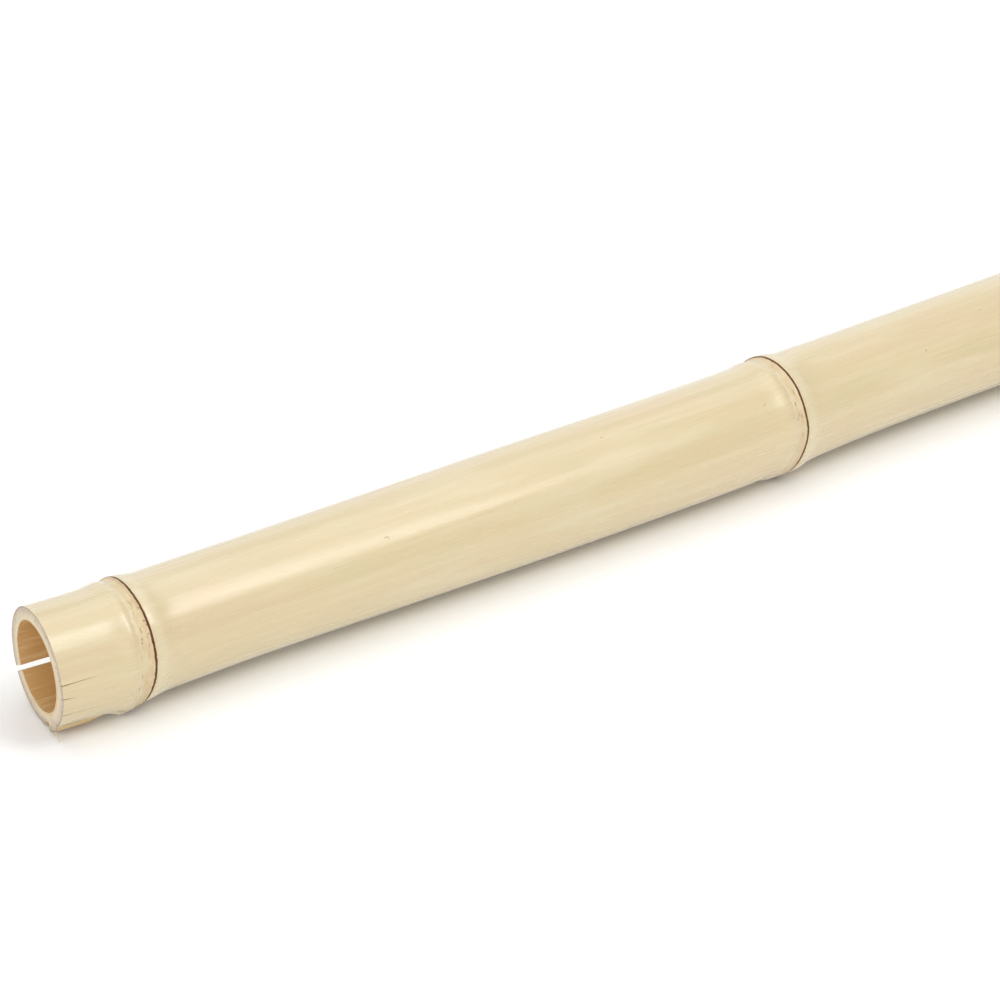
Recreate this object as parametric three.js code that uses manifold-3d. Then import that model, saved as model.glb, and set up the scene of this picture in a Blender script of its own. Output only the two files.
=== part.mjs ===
// A sawn length of yellow bamboo cane, lying on its side on its own node rings.
// Millimetres, +Z up. X runs along the cane from the near cut to the far cut, the floor is z = 0,
// and the origin is on the floor under the middle of the cane. The living culm grew towards the near cut,
// so at each node the swollen ridge lies on the near side of the sheath scar.
import * as THREE from 'three';
import { mergeVertices } from 'three/addons/utils/BufferGeometryUtils.js';
import Module from 'manifold-3d';

const wasm = await Module();
wasm.setup();

const { degToRad, smoothstep } = THREE.MathUtils;

// Driving dimensions. Distances along the cane are from the near cut.
const LENGTH = 1000;
const AXIS_HEIGHT = 30.6;       // heart line above the floor
const SWELL = 1.45;             // thickening of an internode from its waist to its ridge end
const KERF = 2.8;               // saw slot that runs the whole length and lets the cane shrink
const KERF_ANGLE = -150.5;      // low on the back
const KERF_INNER_RADIUS = 19;
const KERF_OUTER_RADIUS = 38;
const DIAPHRAGM = 3.5;          // wall that closes the hollow at each node
const DIAPHRAGM_TO_SCAR = 2;
// Rounded end of a hollow: [share of its radius, distance from the diaphragm]
const HOLLOW_END = [[0, 0], [0.72, 0.6], [0.92, 2.6], [1, 7]];

// Internodes in order: where each starts at its sheath scar, its waist radius, the radius of its
// hollow and how far that lies off centre to the front and up, and the two fractions of its length
// between which it swells.
const INTERNODES = [
  { start: -345, waist: 28.6, hollow: 22.8, offset: [-0.9, -0.2], swellFrom: 0.15, swellTo: 0.65 },
  { start: 44, waist: 28.9, hollow: 22.3, offset: [0, 0], swellFrom: 0.15, swellTo: 0.65 },
  { start: 436.3, waist: 28.7, hollow: 21.9, offset: [0, 0], swellFrom: 0.35, swellTo: 0.9 },
  { start: 826, waist: 28.6, hollow: 21.6, offset: [0, 0], swellFrom: 0.35, swellTo: 0.9 },
  { start: 1205, waist: 28.5, hollow: 21.6, offset: [0, 0], swellFrom: 0.35, swellTo: 0.9 },
];
const SCARS = INTERNODES.slice(1, -1).map((internode) => internode.start);

// Node ring: a ridge and a rough band on the near side of the sheath scar, a thin raised lip at the
// scar, and a collar past it. Each ring leans, so that its top lies further along the cane.
const RIDGE = { height: 0.9, offset: 8.5, gentle: 5.5, steep: 2 };
const STEP = { from: 0.3, to: 1.3 };
const LIP = { height: 0.25, spread: 0.6 };
const COLLAR = { height: 1.95, flat: 2, spread: 8 };
const LEAN = [2.1, 2.9, -2];
const LEAN_SPREAD = 40;

// Swellings of the skin: one dormant bud on each ring, then the unevenness of the near rim and of the
// first two rings. Each fades over "before" towards the near cut, "after" past it and "across" degrees.
const SWELLINGS = [
  { at: 40, before: 9, after: 3, angle: -62, across: 18, height: 2.6 },
  { at: 433.8, before: 8, after: 3.5, angle: -66, across: 18, height: 1.3 },
  { at: 820, before: 8, after: 3.5, angle: 112, across: 18, height: 2.2 },
  { at: 8, before: 60, after: 30, angle: 120, across: 60, height: -0.5 },
  { at: -5, before: 30, after: 15, angle: -142, across: 36, height: 1.7 },
  { at: 62, before: 12, after: 30, angle: -50, across: 40, height: 0.6 },
  { at: 438, before: 2, after: 26, angle: 118, across: 50, height: 1.1 },
  { at: 424, before: 7, after: 6, angle: -50, across: 30, height: -0.7 },
  { at: 441, before: 4, after: 45, angle: -52, across: 40, height: 1.3 },
];

// How far the heart line wanders to +Y: [distance along the cane, wander]
const WANDER = [
  [-40, 3.8], [0, 1.4], [36, -1.2], [70, -0.8], [130, -1.5], [240, -3.3], [350, -4.5], [430, -3.9],
  [470, -1.4], [600, 0.9], [826, 4.6], [1000, 1.9], [1040, 1.3],
];

// Sawn ends, turned from square
const NEAR_CUT = { turn: -6.8, tip: 0.9 };
const FAR_CUT = { turn: 0, tip: 0 };

// Damage at the near cut: a torn strip that stands proud, open cracks and a chipped notch. A crack's
// angle, width and depth are those at the rim, and it twists by its last angle on the way to its tip.
const TEAR = { angle: -64, spread: 14, height: 1.7, from: 16, to: 29 };
const CRACKS = [
  { angle: 10, twist: 0, length: 20, width: 0.8, depth: 3 },
  { angle: -24, twist: -3, length: 25, width: 0.8, depth: 3 },
  { angle: -49, twist: -2, length: 23, width: 1, depth: 3 },
];
const NOTCH = { angle: -76.5, width: 4.6, length: 2.8, innerRadius: 27.6 };

// Faceting: stations along the skin, close together at the near cut and round each scar
const RIM_STATIONS = [-14, -3, 5, 13];
const RING_STATIONS = [-24, -17, -13, -10.5, -8.5, -7, -6, -4, -1.2, -0.4, 0.4, 1.2, 3, 6, 9, 13, 18, 25];
const SIDES = 36;
const HOLLOW_SIDES = 28;
const STATION_STEP = 40;
const HOLLOW_STEP = 60;
const KERF_STEP = 40;
const OVERRUN = -RIM_STATIONS[0];  // what is modelled past each cut before the saw takes it off
const BIG = 300;                // size of a cutting block
const MERGE = 1e-3;

const bell = (x) => Math.exp(-x * x);
const turnBetween = (a, b) => THREE.MathUtils.euclideanModulo(a - b + 180, 360) - 180;

// Smooth curve through the wander points, and its slope
function wander(s) {
  let i = 1;
  while (i < WANDER.length - 3 && s > WANDER[i + 1][0]) i += 1;
  const [[s0, y0], [s1, y1], [s2, y2], [s3, y3]] = WANDER.slice(i - 1, i + 3);
  const span = s2 - s1;
  const t = (s - s1) / span;
  const m1 = (y2 - y0) / (s2 - s0) * span;
  const m2 = (y3 - y1) / (s3 - s1) * span;
  const a = 2 * y1 - 2 * y2 + m1 + m2;
  const b = -3 * y1 + 3 * y2 - 2 * m1 - m2;
  return { y: ((a * t + b) * t + m1) * t + y1, slope: ((3 * a * t + 2 * b) * t + m1) / span };
}

// A point of the section at distance s, from its offsets to the front (-Y) and up
function place(s, front, up) {
  const { y, slope } = wander(s);
  const heading = Math.atan(slope);
  return new THREE.Vector3(
    s - LENGTH / 2 + front * Math.sin(heading),
    y - front * Math.cos(heading),
    AXIS_HEIGHT + up,
  );
}

// Angle round the cane: 0 is the front, 90 the top, -90 the bottom
const angleOf = (front, up) => THREE.MathUtils.radToDeg(Math.atan2(up, front));

// How far the leaning node rings carry a point of the skin along the cane
function lean(s, angle) {
  const reach = LEAN.reduce((sum, amount, k) => sum + amount * bell((s - SCARS[k]) / LEAN_SPREAD), 0);
  return reach * Math.sin(degToRad(angle));
}

// Radius of the skin at distance s and angle
function skinRadius(s, angle) {
  const i = INTERNODES.findIndex((internode) => internode.start > s);
  const here = INTERNODES[i - 1];
  const next = INTERNODES[i];
  const fromScar = s - here.start;
  const toScar = next.start - s;
  const fraction = fromScar / (next.start - here.start);
  const ridgeSpread = toScar > RIDGE.offset ? RIDGE.gentle : RIDGE.steep;
  const step = next.waist + COLLAR.height - here.waist - SWELL;
  let radius = here.waist + SWELL * smoothstep(fraction, here.swellFrom, here.swellTo);
  radius += COLLAR.height * bell(Math.max(0, fromScar - COLLAR.flat) / COLLAR.spread);
  radius += step * (1 - smoothstep(toScar, STEP.from, STEP.to));
  radius += RIDGE.height * bell((toScar - RIDGE.offset) / ridgeSpread);
  radius += LIP.height * (bell(toScar / LIP.spread) + bell(fromScar / LIP.spread));
  SWELLINGS.forEach(({ at, before, after, angle: middle, across, height }) => {
    const along = bell((s - at) / (s > at ? after : before));
    radius += height * along * bell(turnBetween(angle, middle) / across);
  });
  const torn = 1 - smoothstep(s, TEAR.from, TEAR.to);
  radius += TEAR.height * torn * bell(turnBetween(angle, TEAR.angle) / TEAR.spread);
  return radius;
}

// Moves every point of a straight shape (x = front, y = distance along, z = up) onto the cane
function bend(geometry, radiusAt = () => 1, leanAt = () => 0) {
  const position = geometry.attributes.position;
  for (let i = 0; i < position.count; i += 1) {
    const front = position.getX(i);
    const s = position.getY(i);
    const up = position.getZ(i);
    const angle = angleOf(front, up);
    const scale = radiusAt(s, angle);
    const point = place(s + leanAt(s, angle), front * scale, up * scale);
    position.setXYZ(i, point.x, point.y, point.z);
  }
  return geometry;
}

// A closed geometry as a solid, and a solid as a geometry
function solid(geometry) {
  geometry.deleteAttribute('normal');
  geometry.deleteAttribute('uv');
  const merged = mergeVertices(geometry, MERGE);
  const corners = merged.index.array;
  const triVerts = [];
  for (let i = 0; i < corners.length; i += 3) {
    const [a, b, c] = corners.slice(i, i + 3);
    if (a !== b && b !== c && c !== a) triVerts.push(a, b, c);
  }
  const vertProperties = merged.attributes.position.array;
  const mesh = new wasm.Mesh({ numProp: 3, vertProperties, triVerts: Uint32Array.from(triVerts) });
  return new wasm.Manifold(mesh);
}

function geometryOf(body) {
  const mesh = body.getMesh();
  const geometry = new THREE.BufferGeometry();
  geometry.setAttribute('position', new THREE.BufferAttribute(mesh.vertProperties, 3));
  geometry.setIndex(new THREE.BufferAttribute(mesh.triVerts, 1));
  geometry.computeVertexNormals();
  return geometry;
}

// All stations of the skin: those of the rim and the rings, and even steps between
function skinStations() {
  const stations = [...RIM_STATIONS];
  SCARS.forEach((scar, i) => {
    stations.push(...RING_STATIONS.map((offset) => scar + offset));
    const from = stations.at(-1);
    const to = i + 1 < SCARS.length ? SCARS[i + 1] + RING_STATIONS[0] : LENGTH + OVERRUN;
    const steps = Math.round((to - from) / STATION_STEP);
    for (let k = 1; k < steps; k += 1) stations.push(from + (to - from) * k / steps);
  });
  return [...stations, LENGTH + OVERRUN];
}

function culmSkin() {
  const profile = skinStations().map((s) => new THREE.Vector2(1, s));
  profile.unshift(new THREE.Vector2(0, profile[0].y));
  profile.push(new THREE.Vector2(0, profile.at(-1).y));
  return solid(bend(new THREE.LatheGeometry(profile, SIDES), skinRadius, lean));
}

// One hollow, with rounded ends where the diaphragms close it
function hollow(from, to, radius, [front, up], openAtStart, openAtEnd) {
  const flat = [[0, 0], [1, 0]];
  const start = openAtStart ? flat : HOLLOW_END;
  const end = openAtEnd ? flat : HOLLOW_END;
  const steps = Math.round((to - from) / HOLLOW_STEP);
  const profile = start.map(([r, inset]) => new THREE.Vector2(r * radius, from + inset));
  for (let k = 1; k < steps; k += 1) profile.push(new THREE.Vector2(radius, from + (to - from) * k / steps));
  profile.push(...end.toReversed().map(([r, inset]) => new THREE.Vector2(r * radius, to - inset)));
  return solid(bend(new THREE.LatheGeometry(profile, HOLLOW_SIDES).translate(front, 0, up)));
}

function hollows() {
  const count = SCARS.length;
  return INTERNODES.slice(0, count + 1).map((internode, i) => {
    const from = i === 0 ? -OVERRUN : SCARS[i - 1] - DIAPHRAGM_TO_SCAR;
    const to = i === count ? LENGTH + OVERRUN : SCARS[i] - DIAPHRAGM_TO_SCAR - DIAPHRAGM;
    return hollow(from, to, internode.hollow, internode.offset, i === 0, i === count);
  });
}

// The saw slot: a plate that follows the heart line, turned to its angle round the cane
function kerf() {
  const length = LENGTH + 2 * OVERRUN;
  const depth = KERF_OUTER_RADIUS - KERF_INNER_RADIUS;
  const plate = new THREE.BoxGeometry(depth, length, KERF, 1, Math.round(length / KERF_STEP), 1);
  plate.translate((KERF_INNER_RADIUS + KERF_OUTER_RADIUS) / 2, LENGTH / 2, 0);
  plate.rotateY(degToRad(-KERF_ANGLE));
  return solid(bend(plate));
}

// An open crack: a flat wedge from the cut rim that runs out along the cane
function crack({ angle, twist, length, width, depth }) {
  const radius = skinRadius(0, angle);
  const growth = (length + OVERRUN) / length;
  const wedge = new THREE.ConeGeometry(1, length + OVERRUN, 4, 2);
  wedge.scale(depth * growth, 1, width * growth / 2);
  wedge.translate(0, (length - OVERRUN) / 2, 0);
  wedge.rotateX(Math.atan(degToRad(twist) * radius / length));
  wedge.translate(radius, 0, 0);
  wedge.rotateY(degToRad(-angle));
  return solid(bend(wedge));
}

function notch() {
  const depth = KERF_OUTER_RADIUS - NOTCH.innerRadius;
  const chip = new THREE.BoxGeometry(depth, NOTCH.length + OVERRUN, NOTCH.width);
  chip.translate(NOTCH.innerRadius + depth / 2, (NOTCH.length - OVERRUN) / 2, 0);
  chip.rotateY(degToRad(-NOTCH.angle));
  return solid(bend(chip));
}

// The block that a saw takes off: its face crosses the heart line at distance s
function sawnOff(s, { turn, tip }, direction) {
  const block = new THREE.BoxGeometry(BIG, BIG, BIG);
  block.translate(direction * BIG / 2, 0, 0);
  block.rotateY(degToRad(-tip));
  block.rotateZ(degToRad(turn));
  const { x, y, z } = place(s, 0, 0);
  return solid(block.translate(x, y, z));
}

// The floor takes a little off the lowest rings, so that the cane rests on flat spots
function floor() {
  return solid(new THREE.BoxGeometry(LENGTH + BIG, BIG, BIG).translate(0, 0, -BIG / 2));
}

function culm() {
  let body = culmSkin();
  for (const hole of hollows()) body = body.subtract(hole);
  body = body.subtract(kerf());
  for (const one of CRACKS) body = body.subtract(crack(one));
  body = body.subtract(notch()).subtract(floor());
  return body.subtract(sawnOff(0, NEAR_CUT, -1)).subtract(sawnOff(LENGTH, FAR_CUT, 1));
}

const bamboo = new THREE.MeshStandardMaterial({ color: 0xe6d6ac, roughness: 0.38, metalness: 0 });
const cane = new THREE.Group();
const mesh = new THREE.Mesh(geometryOf(culm()), bamboo);
mesh.name = 'bamboo_culm';
cane.add(mesh);

export default cane;
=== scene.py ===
# Bamboo cane: a sawn length of yellow bamboo lying on its node rings, dressed for a studio render.
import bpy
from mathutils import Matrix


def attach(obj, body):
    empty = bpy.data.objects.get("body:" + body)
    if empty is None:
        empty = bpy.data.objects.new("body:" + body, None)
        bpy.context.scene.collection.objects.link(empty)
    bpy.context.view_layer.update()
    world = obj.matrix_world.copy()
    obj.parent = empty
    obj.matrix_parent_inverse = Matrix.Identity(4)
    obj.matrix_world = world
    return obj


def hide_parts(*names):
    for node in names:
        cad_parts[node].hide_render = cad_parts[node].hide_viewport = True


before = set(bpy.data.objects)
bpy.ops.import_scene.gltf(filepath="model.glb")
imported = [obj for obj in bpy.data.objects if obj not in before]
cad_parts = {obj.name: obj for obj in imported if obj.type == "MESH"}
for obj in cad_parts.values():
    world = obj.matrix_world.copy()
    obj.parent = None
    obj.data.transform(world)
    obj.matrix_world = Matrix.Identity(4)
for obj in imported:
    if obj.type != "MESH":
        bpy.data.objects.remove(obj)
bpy.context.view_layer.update()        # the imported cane, whose place and size the fine one keeps

import math

import bmesh
import bpy
from bpy.props import FloatProperty, FloatVectorProperty, IntProperty, PointerProperty
from mathutils import Matrix, Vector, noise

bl_info = {
    "name": "Bamboo Cane",
    "version": (1, 0, 0),
    "blender": (4, 5, 0),
    "location": "View3D > Sidebar > Bamboo Cane",
    "description": "Builds a sawn length of bamboo cane, its torn fibres and a plain studio",
    "category": "Add Mesh",
}

MM = 0.001
CULM_NODE = "bamboo_culm"
BODY = "root"

# Growth of the culm, in millimetres from the near cut, with angles in degrees from the front (0) over the
# top (90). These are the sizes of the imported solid.
# Each internode starts at its sheath scar. It has the radii of its waist and of its hollow, how far the
# hollow lies off centre to the front and up, and the shares of its length between which it swells.
INTERNODES = (
    {"start": -345, "waist": 28.6, "hollow": 22.8, "offset": (-0.9, -0.2), "swells": (0.15, 0.65)},
    {"start": 44, "waist": 28.9, "hollow": 22.3, "offset": (0, 0), "swells": (0.15, 0.65)},
    {"start": 436.3, "waist": 28.7, "hollow": 21.9, "offset": (0, 0), "swells": (0.35, 0.9)},
    {"start": 826, "waist": 28.6, "hollow": 21.6, "offset": (0, 0), "swells": (0.35, 0.9)},
    {"start": 1205, "waist": 28.5, "hollow": 21.6, "offset": (0, 0), "swells": (0.35, 0.9)},
)
SCARS = tuple(internode["start"] for internode in INTERNODES[1:-1])
SWELL = 1.45
# A node, along the cane: a ridge, gentle before its crest and steep after it, then the root band, a step up
# to the scar, the thin lip of the scar, and a collar that flares the start of the next internode
RIDGE = {"offset": 8.5, "gentle": 5.5, "steep": 1.8}
BAND = {"start": -7, "full_from": -6, "full_to": -1.4, "end": -0.8}
STEP = (0.3, 1.3)
LIP_SPREAD = 0.6
COLLAR = {"height": 1.95, "flat": 2, "spread": 8}
# How far the top of each node ring leans to the far end
LEAN = (2.1, 2.9, -2)
LEAN_SPREAD = 40
# Where a ring waves along the cane: (scar, angle, width in degrees, wave in mm)
RING_WAVES = (
    (44, 118, 28, 1.8), (44, 2, 22, 0.4), (436.3, 118, 28, 1.3), (436.3, 4, 17, 0.8), (826, -100, 30, 1),
)
# Buds and other swellings of the rind: the near side of each is "before" long, the far side "after"
SWELLINGS = (
    {"at": 40, "before": 9, "after": 3, "angle": -62, "across": 18, "height": 2.6},
    {"at": 433.8, "before": 8, "after": 3.5, "angle": -66, "across": 18, "height": 1.3},
    {"at": 820, "before": 8, "after": 3.5, "angle": 112, "across": 18, "height": 2.2},
    {"at": 8, "before": 60, "after": 30, "angle": 120, "across": 60, "height": -0.5},
    {"at": -5, "before": 30, "after": 15, "angle": -142, "across": 36, "height": 1.7},
    {"at": 62, "before": 12, "after": 30, "angle": -50, "across": 40, "height": 0.6},
    {"at": 438, "before": 2, "after": 26, "angle": 118, "across": 50, "height": 1.1},
    {"at": 424, "before": 7, "after": 6, "angle": -50, "across": 30, "height": -0.7},
    {"at": 441, "before": 4, "after": 45, "angle": -52, "across": 40, "height": 1.3},
)
BUDS = SWELLINGS[:3]
BUD_EYE = {"length": 5, "across": 9}
# Unevenness of the rind: length of its patches in mm, how many lie round the cane, and height in mm
FLUTES = {"length": 210, "turns": 3.1, "height": 0.16}
RIPPLES = {"length": 70, "turns": 9, "shift": 9, "height": 0.05}
WRINKLES = {"length": 0.9, "turns": 22, "height": 0.09}
PITS = {"length": 1.6, "turns": 16, "shift": 5, "height": 0.35}
PIT_SHARE = 0.3
# Unevenness of the hollow, as a share of its radius
INNER_WAVES = {"length": 40, "turns": 4, "height": 0.004}
INNER_RAGS = {"length": 2, "turns": 11, "height": 0.012}
# How far the heart line wanders to +Y: (distance along the cane, wander)
WANDER = (
    (-40, 3.8), (0, 1.4), (36, -1.2), (70, -0.8), (130, -1.5), (240, -3.3), (350, -4.5), (430, -3.9),
    (470, -1.4), (600, 0.9), (826, 4.6), (1000, 1.9), (1040, 1.3),
)
# Small dark marks of the rind: distance from the near cut, angle, length and width. Most lie in the root
# bands, the rest on the internodes.
MARKS = (
    (43.1, 58, 0.5, 1.1), (39.9, 54.5, 0.3, 0.9), (43.1, 45, 0.8, 1), (43.4, 40.5, 0.4, 1),
    (40.4, 38.5, 0.4, 1.5), (43.2, 32.5, 0.5, 1.3), (42.5, 30, 0.4, 0.8), (39.8, 29.7, 0.6, 1.4),
    (39.4, 26.5, 0.7, 1.3), (42.6, 22.5, 0.3, 1.6), (40.6, -13, 0.5, 1), (38.2, -4.6, 0.5, 2.2),
    (37.6, -18, 0.5, 3), (33.5, -50, 5, 2), (431.8, 22, 0.5, 1.6), (434, 48, 0.6, 2.8),
    (432.4, 37, 0.7, 2.2), (433.6, 5, 0.5, 1.8), (415, 46.6, 0.7, 0.8), (434.4, 85.7, 0.4, 1.2),
    (19.3, 83.4, 0.3, 1.6), (29.4, 102, 0.5, 0.8), (182.3, 45.2, 1.8, 0.5), (183.6, 43.8, 0.4, 1.3),
    (529.3, 40.2, 0.8, 1), (574.9, 62.6, 0.7, 1.2), (320, 71, 1.2, 0.5), (655, 30, 0.9, 1),
    (738, -20, 1.2, 0.5), (905, 64, 0.8, 0.9), (250, -130, 1.5, 0.6), (610, 150, 0.9, 1.1),
)
MARK_RADIUS = 30
# The diaphragm at each node, and the rounded ends of the hollows, which narrow to a share of their radius
DIAPHRAGM = 3.5
DIAPHRAGM_TO_SCAR = 2
HOLLOW_ROUND = 7
HOLLOW_SHARE = 0.72
HOLLOW_SIDES = 96
# The saw slot reaches from one radius to another. Each saw cut is turned about Z and tipped about Y.
KERF_INNER = 19
KERF_OUTER = 38
NEAR_CUT = {"turn": -6.8, "tip": 0.9}
FAR_CUT = {"turn": 0, "tip": 0}
# The strip at the near rim where the saw tore the skin, between two angles, and how far along it fades
TEAR = {"top": -49, "rise": 3, "plateau": -72, "bottom": -86, "height": 1.6, "from": 16, "to": 29}
# Drying cracks of the near end. The twist is how far a crack drifts round the cane over its length.
CRACKS = (
    {"angle": 10, "twist": 0, "length": 20, "width": 0.42, "depth": 3},
    {"angle": -4, "twist": -1, "length": 6, "width": 0.32, "depth": 2},
    {"angle": -24, "twist": -3, "length": 25, "width": 0.36, "depth": 3},
    {"angle": -49, "twist": -2, "length": 23, "width": 0.6, "depth": 3},
)
CRACK_WAVER = {"height": 0.22, "length": 4}
NOTCH = {"angle": -76.5, "width": 4.6, "length": 2.8, "inner": 27.6}
# How far a cutting tool reaches past the ends of the cane, and the size of a cutting block
OVERRUN = 14
BLOCK = 300
# Spacing of the rings of the rind: within a distance of a scar, and otherwise along an internode or the rim
RING_STEPS = ((4, 0.4), (13, 0.8), (30, 2.2))
INTERNODE_STEP = 7
RIM = {"reach": 30, "step": 1.2}


def linear(code):
    """An sRGB hex colour as linear red, green, blue and alpha."""
    channels = [int(code[i:i + 2], 16) / 255 for i in (1, 3, 5)]
    return tuple(c / 12.92 if c <= 0.04045 else ((c + 0.055) / 1.055) ** 2.4 for c in channels) + (1.0,)


# Sizes and colours

def length_property(name, description, default):
    return FloatProperty(
        name=name, description=description, default=default, min=0, unit="LENGTH", precision=4,
    )


def colour_property(name, description, code):
    return FloatVectorProperty(
        name=name, description=description, default=linear(code), size=4, min=0, max=1, subtype="COLOR",
    )


def power_property(name, description, default):
    return FloatProperty(name=name, description=description, default=default, min=0, unit="POWER")


class CaneSizes(bpy.types.PropertyGroup):
    length: length_property("Length", "From the near saw cut to the far one", 1000 * MM)
    axis_height: length_property("Axis height", "Heart line above the floor", 30.6 * MM)
    ridge_height: length_property("Ridge height", "How far a ridge stands above its internode", 0.9 * MM)
    lip_height: length_property("Scar lip", "Height of the thin brown lip that the sheath left", 0.25 * MM)
    kerf: length_property("Saw slot", "Width of the relief slot along the cane", 2.8 * MM)
    kerf_angle: FloatProperty(
        name="Slot angle", description="Place of the slot round the cane: 0 is the front, 90 the top",
        default=math.radians(-150.5), subtype="ANGLE", unit="ROTATION",
    )
    sides: IntProperty(
        name="Sides", description="Facets round the rind",
        default=160, min=24, max=256,
    )


class CaneColours(bpy.types.PropertyGroup):
    rind: colour_property("Rind", "Cream yellow of dried bamboo skin", "#d3c198")
    rind_pale: colour_property("Pale rind", "Cream patches and streaks", "#dfd3b2")
    rind_warm: colour_property("Warm rind", "Pinkish tan patches", "#d5bd9a")
    rind_green: colour_property("Greenish rind", "Last trace of green under the dried skin", "#cdc298")
    band: colour_property("Root band", "Rough band between a ridge and its scar", "#cdb287")
    # Crease colour: painted shade in the crease at the foot of each ridge and on the crack walls, and also
    # the brownish grey of specks, scratches and band wrinkles
    crease: colour_property("Crease", "Brownish grey of creases and scratches", "#9c8256")
    scar: colour_property("Sheath scar", "Brown line that the fallen sheath leaves", "#5a3820")
    scar_pale: colour_property("Worn scar", "Lighter brown where the line is worn", "#7a5836")
    warm_edge: colour_property("Warm edge", "Thin orange edge beside a scar or a hollow", "#d6b890")
    end_grain: colour_property("End grain", "Greyish cream of the sawn wall", "#d5c5af")
    end_warm: colour_property("Warm end grain", "Brown parts of the sawn wall", "#c0ab92")
    end_bundle: colour_property("Bundles", "Fibre bundles in the sawn wall", "#9c8973")
    end_skin: colour_property("Cut skin", "Grey brown edge of the rind in the cut", "#92857c")
    hollow: colour_property("Hollow", "Golden brown inner wall", "#d9b176")
    hollow_pale: colour_property("Pale hollow", "Membrane left on the inner wall", "#ecd5a6")
    raw: colour_property("Raw fibre", "Straw colour of sawn or torn fibre", "#d9c9a4")
    raw_dark: colour_property("Dark fibre", "Shaded brown between fibres", "#94692f")
    torn: colour_property("Torn strip", "Golden fibre under the torn skin", "#c9a566")


class StudioSettings(bpy.types.PropertyGroup):
    floor: colour_property("Floor", "White studio paper", "#fbfbfb")
    softbox: power_property("Softbox", "Softbox that draws the long highlight", 6)
    overhead: power_property("Overhead", "Large overhead diffuser", 24)
    rear: power_property("Rear", "Diffuser behind the cane, for the pale upper edge", 11.5)
    front: power_property("Front", "Low diffuser on the camera's side", 11)
    side: power_property("Side", "Diffuser that faces the near saw cut", 15)
    room: FloatProperty(name="Room", description="Brightness of the white room", default=0.52, min=0)


LAMPS = (
    {"name": "softbox", "at": (0.2, -0.72, 1.27), "target": (-0.3, 0, 0.03), "size": (0.44, 0.86)},
    {"name": "overhead", "at": (0.2, 0.5, 2.4), "target": (0, 0, 0), "size": (2.5, 2.5)},
    {"name": "rear", "at": (1.3, 2.2, 1.0), "target": (0, 0, 0.1), "size": (3.2, 1.6)},
    {"name": "front", "at": (-0.9, -2.4, 1.0), "target": (0, 0, 0.05), "size": (1.6, 1.2)},
    {"name": "side", "at": (-2.4, -0.3, 0.9), "target": (-0.3, 0, 0.03), "size": (1.2, 1.0)},
)
# The camera: its turn from +X, its tilt down, and its lens in mm for a 36 mm sensor
CAMERA = {"at": (-1.2721, -1.4439, 1.0286), "turn": 54.26, "tilt": 29.21, "lens": 145.84}
FLOOR_SIZE = 6


# Growth of the culm

def bell(x):
    return math.exp(-x * x)


def smooth(x, low, high):
    t = min(1.0, max(0.0, (x - low) / (high - low)))
    return t * t * (3 - 2 * t)


def turn_between(a, b):
    return (a - b + 180) % 360 - 180


def wander(s):
    """Wander of the heart line to +Y and its slope, at distance s."""
    i = 1
    while i < len(WANDER) - 3 and s > WANDER[i + 1][0]:
        i += 1
    (s0, y0), (s1, y1), (s2, y2), (s3, y3) = WANDER[i - 1:i + 3]
    span = s2 - s1
    t = (s - s1) / span
    m1 = (y2 - y0) / (s2 - s0) * span
    m2 = (y3 - y1) / (s3 - s1) * span
    a = 2 * y1 - 2 * y2 + m1 + m2
    b = -3 * y1 + 3 * y2 - 2 * m1 - m2
    return ((a * t + b) * t + m1) * t + y1, ((3 * a * t + 2 * b) * t + m1) / span


def place(sizes, s, front, up):
    """A point of the section at distance s, in metres, from its offsets to the front (-Y) and up."""
    y, slope = wander(s)
    heading = math.atan(slope)
    x = s - sizes.length / MM / 2 + front * math.sin(heading)
    return Vector((x, y - front * math.cos(heading), sizes.axis_height / MM + up)) * MM


def straighten(sizes, point):
    """The reverse of place: distance along the cane and the offsets to the front and up."""
    x = point.x / MM + sizes.length / MM / 2
    s, front = x, 0.0
    for _ in range(3):
        y, slope = wander(s)
        heading = math.atan(slope)
        front = (y - point.y / MM) / math.cos(heading)
        s = x - front * math.sin(heading)
    return s, front, point.z / MM - sizes.axis_height / MM


def lean(s, angle):
    """How far a leaning node ring carries a point of the rind along the cane."""
    reach = sum(amount * bell((s - scar) / LEAN_SPREAD) for amount, scar in zip(LEAN, SCARS))
    shift = reach * math.sin(math.radians(angle))
    for scar, middle, across, wave in RING_WAVES:
        shift += wave * bell((s - scar) / LEAN_SPREAD) * bell(turn_between(angle, middle) / across)
    return shift


def torn(s, angle):
    """Share, from 0 to 1, of the torn strip that stands proud at the near rim."""
    edge = TEAR["top"] - 0.12 * max(0, s)
    across = 1 - smooth(angle, edge - TEAR["rise"], edge)
    across *= smooth(angle, TEAR["bottom"], TEAR["plateau"])
    return across * (1 - smooth(s, TEAR["from"], TEAR["to"]))


def uneven(s, angle, length, turns, height, shift=0, above=None):
    """Noise on the culm, in patches of a length and a number round the cane. With above, only its peaks."""
    around = math.radians(angle)
    value = noise.noise(Vector((s / length + shift, turns * math.cos(around), turns * math.sin(around))))
    return height * (value if above is None else max(0, value - above))


def relief(s, angle, from_scar):
    """Fine unevenness of the rind: long shallow flutes, and pits and wrinkles in the root band."""
    amount = uneven(s, angle, **FLUTES) + uneven(s, angle, **RIPPLES)
    in_band = smooth(from_scar, BAND["start"], BAND["full_from"])
    in_band *= 1 - smooth(from_scar, BAND["full_to"], BAND["end"])
    if in_band:
        amount += in_band * (uneven(s, angle, **WRINKLES) - uneven(s, angle, above=PIT_SHARE, **PITS))
    return amount


def nearest_scar(s):
    """Signed distance from the nearest sheath scar; less than 0 is the ridge side."""
    return min((s - scar for scar in SCARS), key=abs)


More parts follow.
